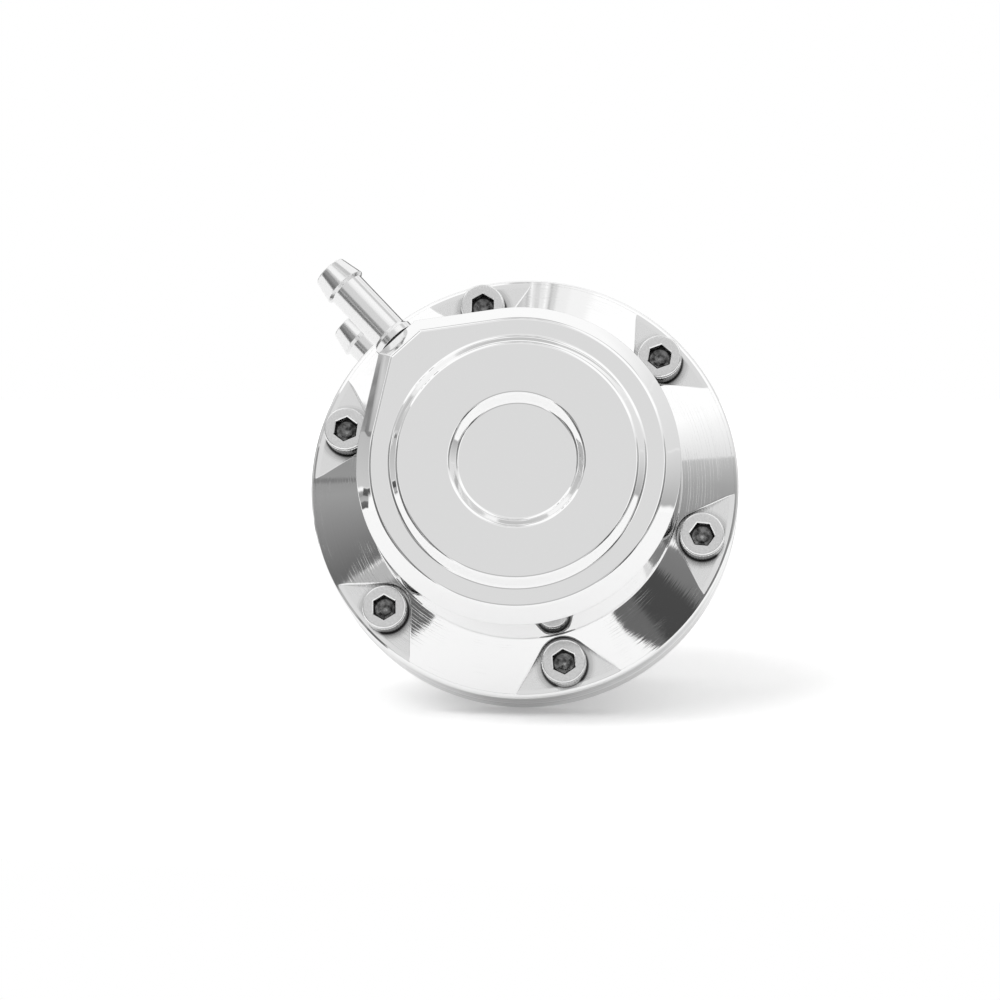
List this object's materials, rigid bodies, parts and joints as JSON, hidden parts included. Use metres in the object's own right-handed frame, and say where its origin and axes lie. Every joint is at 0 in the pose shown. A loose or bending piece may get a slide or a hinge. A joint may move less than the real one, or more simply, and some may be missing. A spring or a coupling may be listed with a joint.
{
  "type": "wastegate actuator",
  "caption": "Dual port pneumatic wastegate actuator: polished two-part aluminium can with bolted flanges, hose tails, spring-loaded piston, diaphragm, rod and clevis.",
  "frame": {"origin": "centre of the body's flat mounting face, on the rod's axis", "axes": "+Z along the rod's axis towards the cap, +X along the two hose tails"},
  "size_m": [0.0982, 0.0824, 0.1356],
  "materials": {
    "polished_aluminium": "mirror polished",
    "machined_aluminium": "fine turned",
    "stainless_screws": "satin",
    "polished_steel": "polished",
    "ground_steel": "ground",
    "zinc_plated_steel": "zinc plated",
    "spring_steel": "oiled",
    "bronze": "turned",
    "seal_rubber": "moulded",
    "diaphragm_rubber": "fabric reinforced"
  },
  "bodies": {
    "housing": {"body": "polished_aluminium", "cap": "polished_aluminium", "cap_screws": "stainless_screws", "cap_hose_tail": "polished_steel", "body_hose_tail": "polished_steel", "cap_tail_seal": "seal_rubber", "body_tail_seal": "seal_rubber", "rod_guide_bush": "bronze", "rod_seal": "seal_rubber", "seal_washer": "zinc_plated_steel", "seal_circlip": "spring_steel", "diaphragm": "diaphragm_rubber", "outer_spring": "spring_steel", "inner_spring": "spring_steel"},
    "rod_and_piston": {"actuator_rod": "ground_steel", "piston": "machined_aluminium", "diaphragm_plate": "machined_aluminium", "piston_washer": "zinc_plated_steel", "piston_nut": "zinc_plated_steel", "lock_nut": "zinc_plated_steel", "clevis": "zinc_plated_steel"},
    "pin_and_clip": {"clevis_pin": "ground_steel", "pin_clip": "spring_steel"}
  },
  "joints": [
    {"name": "rod_stroke", "type": "slide", "parent": "housing", "child": "rod_and_piston", "axis": [0, 0, -1], "range_m": [0, 0.012], "stiffness_N_per_m": 5200, "springref_m": -0.02, "deforming": ["outer_spring", "inner_spring", "diaphragm"]},
    {"name": "clevis_pin_turn", "type": "hinge", "parent": "rod_and_piston", "child": "pin_and_clip", "pos_m": [0, 0, -0.058], "axis": [0, 1, 0], "continuous": true}
  ]
}
